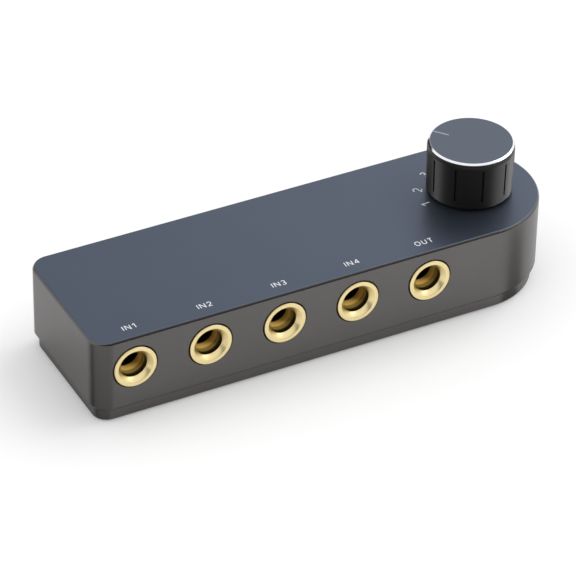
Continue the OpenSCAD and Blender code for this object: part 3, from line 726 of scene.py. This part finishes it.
studioSizes = {
    "floor": 6000 * mm, "floorWhite": "#f9f9f9",
    "paperGlow": 0.18,  # how much of the paper's look is its own white, to the camera alone
    # wedges of card: each one's point, the way it opens, half its angle and its tone
    "cardHeight": 0.05 * mm, "cardReach": 24 * mm,
    "cards": {
        "endCard": (22.6 * mm, -7.8 * mm, -26, 13, "#a4a4a4"),
        "cornerCard": (-33.3 * mm, -9.4 * mm, 161, 10, "#101010"),
        "frontCard": (-33 * mm, -9 * mm, 228, 56, "#cccccc"),
    },
    # dark parts of the room: which way each lies, and how far a direction has to point that way for
    # it to start and to be full
    "darkEnd": {"way": (-0.174, -0.985, -1.2), "start": 0.2, "full": 0.42},
    "darkPatch": {"way": (-0.322, 0.934, 0.156), "start": 0.93, "full": 0.955},
    "darkLevel": 0.04,
    "sun": 0.95, "sunAngle": 50, "sunFrom": (1.0, 0.05, 1.0),
    # lamps for single pieces: turn and rise in degrees, strength, and how wide each is in degrees
    "knobStrips": {"leftStrip": (153, 8, 3.4, 24), "rightStrip": (-36, 5, 7.0, 46),
                   "edgeStrip": (-2, 4, 4.2, 20)},
    "boreLight": (-65, 45, 2.3, 15),
}


def makeFloor(sizes):
    startPiece()
    bpy.ops.mesh.primitive_plane_add(size=sizes["floor"])
    floor = settle("studioFloor")
    # Seamless paper: smooth and matt, pale enough to fade into the backdrop. A little white of its
    # own, which only the camera sees, brings it up to the backdrop and leaves the shadow.
    paper, tree, shader = startMaterial("seamlessPaper", sizes["floorWhite"],
                                        Roughness=1, Specular_IOR_Level=0)
    rays = addNode(tree, "ShaderNodeLightPath")
    part = addNode(tree, "ShaderNodeMath", {"operation": "MULTIPLY", 1: sizes["paperGlow"]},
                   {0: rays.outputs["Is Camera Ray"]})
    white = addNode(tree, "ShaderNodeEmission", {"Strength": 1.0})
    shown = addNode(tree, "ShaderNodeMixShader", {},
                    {0: part.outputs["Value"], 1: shader.outputs["BSDF"], 2: white.outputs["Emission"]})
    tree.links.new(shown.outputs["Shader"], tree.nodes["Material Output"].inputs["Surface"])
    paint(floor, [paper])


def makeCard(name, setting, sizes):
    # a dull wedge of card on the paper, where an upright corner of the case looks: only shine sees it
    x, y, turn, half, tone = setting
    reach = sizes["cardReach"]
    # a three-sided disc of radius 1 is 1.5 long, and twice this from side to side
    discLength, discHalf = 1.5, math.cos(math.radians(30))
    startPiece()
    bpy.ops.mesh.primitive_circle_add(vertices=3, radius=1, fill_type="NGON", location=(0, -1, 0))
    card = settle(name)
    card.matrix_world = (
        Matrix.Translation((x, y, sizes["cardHeight"])) @ Matrix.Rotation(math.radians(turn + 90), 4, "Z")
        @ Matrix.Diagonal((reach * math.tan(math.radians(half)) / discHalf, reach / discLength, 1, 1)))
    settle(name)
    # Flocked card: dull, with no shine at all
    paint(card, [startMaterial("flocked_" + name, tone, Roughness=1, Specular_IOR_Level=0)[0]])
    card.visible_camera = card.visible_shadow = card.visible_diffuse = False


def makeRoom(sizes):
    # white all round, but for a dark end that upright walls mirror, and a small dark patch that the
    # knob's cut edge mirrors; the camera sees plain white
    world = bpy.data.worlds.new("studio")
    bpy.context.scene.world = world
    world.use_nodes = True
    tree = world.node_tree
    tree.nodes.clear()
    rays = addNode(tree, "ShaderNodeLightPath")
    towards = addNode(tree, "ShaderNodeTexCoord").outputs["Generated"]
    levels = []
    for dark in (sizes["darkEnd"], sizes["darkPatch"]):
        along = addNode(tree, "ShaderNodeVectorMath", {"operation": "DOT_PRODUCT", 1: dark["way"]},
                        {0: towards})
        fade = addNode(tree, "ShaderNodeMapRange",
                       {"interpolation_type": "SMOOTHSTEP", "From Min": dark["start"],
                        "From Max": dark["full"], "To Min": 1.0, "To Max": sizes["darkLevel"]},
                       {"Value": along.outputs["Value"]})
        levels.append(fade.outputs["Result"])
    lit = addNode(tree, "ShaderNodeMath", {"operation": "MINIMUM"}, {0: levels[0], 1: levels[1]})
    seen = addNode(tree, "ShaderNodeMath", {"operation": "MAXIMUM"},
                   {0: rays.outputs["Is Camera Ray"], 1: lit.outputs["Value"]})
    walls = addNode(tree, "ShaderNodeBackground", {"Color": (1, 1, 1, 1)},
                    {"Strength": seen.outputs["Value"]})
    addNode(tree, "ShaderNodeOutputWorld", {}, {"Surface": walls.outputs["Background"]})


def addSun(name, rotation, strength, angle):
    startPiece()
    bpy.ops.object.light_add(type="SUN", rotation=rotation)
    lamp = bpy.context.object
    lamp.name, lamp.data.energy, lamp.data.angle = name, strength, math.radians(angle)
    return lamp


def addLampFor(pieces, name, setting):
    # a lamp that reaches these pieces alone
    turn, rise, strength, angle = setting
    lamp = addSun(name, (0, math.radians(90 - rise), math.radians(turn)), strength, angle)
    receivers = bpy.data.collections.new(name + "Only")
    for piece in pieces:
        receivers.objects.link(piece)
    lamp.light_linking.receiver_collection = receivers
    return lamp


makeFloor(studioSizes)
for name, setting in studioSizes["cards"].items():
    makeCard(name, setting, studioSizes)
makeRoom(studioSizes)
sunRotation = Vector(studioSizes["sunFrom"]).to_track_quat("Z", "Y").to_euler()
addSun("windowLight", sunRotation, studioSizes["sun"], studioSizes["sunAngle"])
# low strips of light beside the table, that only the shine of the knob's side shows
for name, setting in studioSizes["knobStrips"].items():
    addLampFor([knob], name, setting).visible_diffuse = False
# a lamp in front that looks into the plug holes, and makes no highlight
addLampFor(bushes, "boreLight", studioSizes["boreLight"]).visible_glossy = False

cameraSizes = {
    "azimuth": -27.985, "elevation": 35.716, "roll": 1.10, "away": 488.7 * mm,
    "target": Vector((-3.862, -4.039, 8.05)) * mm,
    "focus": 3729.84, "imageWidth": 576, "sensorWidth": 36,  # focus: in pixels of an image this wide
    "nearest": 10 * mm, "furthest": 20000 * mm,
}


def makeCamera(sizes):
    turn, rise, roll = (math.radians(sizes[key]) for key in ("azimuth", "elevation", "roll"))
    back = Vector((math.sin(turn) * math.cos(rise), -math.cos(turn) * math.cos(rise), math.sin(rise)))
    right = Vector((math.cos(turn), math.sin(turn), 0))
    up = back.cross(right)
    right, up = (math.cos(roll) * right + math.sin(roll) * up,
                 math.cos(roll) * up - math.sin(roll) * right)
    startPiece()
    bpy.ops.object.camera_add()
    camera = bpy.context.object
    camera.name = "photoCamera"
    camera.data.sensor_width = sizes["sensorWidth"]
    camera.data.lens = sizes["focus"] * sizes["sensorWidth"] / sizes["imageWidth"]
    camera.data.clip_start, camera.data.clip_end = sizes["nearest"], sizes["furthest"]
    axes = Matrix((right, up, back)).transposed().to_4x4()
    camera.matrix_world = Matrix.Translation(sizes["target"] + back * sizes["away"]) @ axes
    bpy.context.scene.camera = camera


makeCamera(cameraSizes)
bpy.context.scene.view_settings.view_transform = "Standard"
print("studio made")
